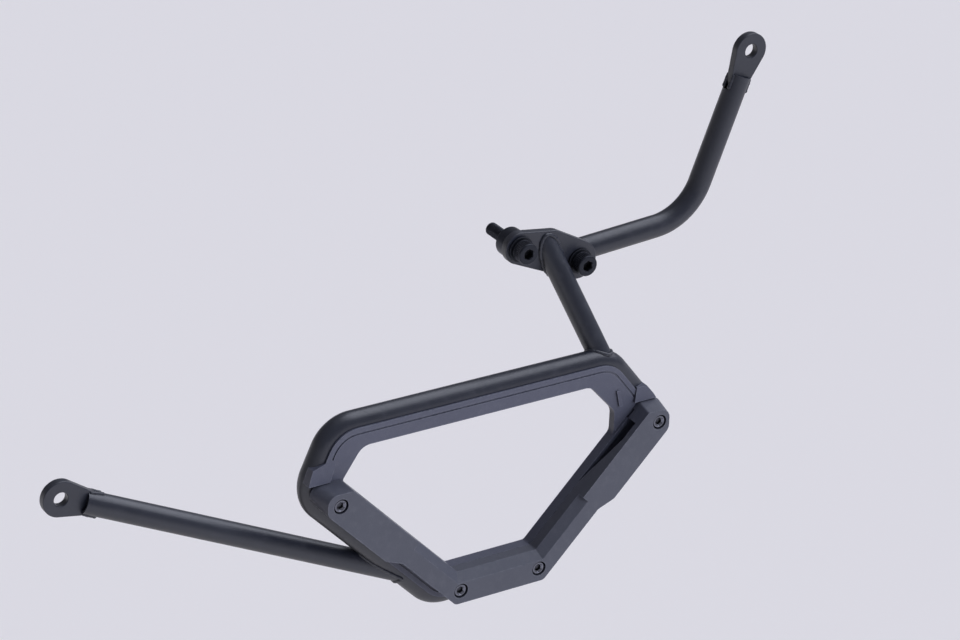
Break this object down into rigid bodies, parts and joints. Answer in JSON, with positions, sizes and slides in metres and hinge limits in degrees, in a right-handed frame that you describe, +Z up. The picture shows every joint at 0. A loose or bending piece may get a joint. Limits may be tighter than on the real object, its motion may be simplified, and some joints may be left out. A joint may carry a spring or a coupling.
{
  "type": "pannier frame",
  "caption": "Left-hand motorcycle side carrier: bent tube hoop, moulded frame with a screwed V-shaped cover, welded arms, bracket and bolted brace.",
  "frame": {"origin": "middle of the subframe bolt where its free thread starts, 1 mm past the spacer's inboard face", "axes": "+X towards the motorcycle's rear, +Y inboard towards the motorcycle, +Z up"},
  "size_m": [0.4834, 0.089, 0.3026],
  "materials": {
    "coated_tube": "satin black powder coat",
    "moulded_plastic": "fine-grained dark grey moulding",
    "screw_steel": "black coated steel with worn bright edges",
    "bolt_steel": "black coated steel",
    "brass": "turned and knurled"
  },
  "bodies": {
    "root": {"ring_tube": "coated_tube", "upper_arm": "coated_tube", "front_arm": "coated_tube", "front_arm_tab": "coated_tube", "upper_bracket": "coated_tube", "brace_tube": "coated_tube", "brace_eye": "coated_tube", "brace_upper_tab": "coated_tube", "inner_frame": "moulded_plastic", "front_cover": "moulded_plastic", "cover_screw_1": "screw_steel", "cover_screw_2": "screw_steel", "cover_screw_3": "screw_steel", "cover_screw_4": "screw_steel", "insert_1": "brass", "insert_2": "brass", "insert_3": "brass", "insert_4": "brass", "subframe_bolt": "bolt_steel", "subframe_washer": "bolt_steel", "subframe_spacer": "bolt_steel", "brace_bolt": "bolt_steel", "brace_washer": "bolt_steel", "brace_nut": "bolt_steel"}
  },
  "joints": []
}
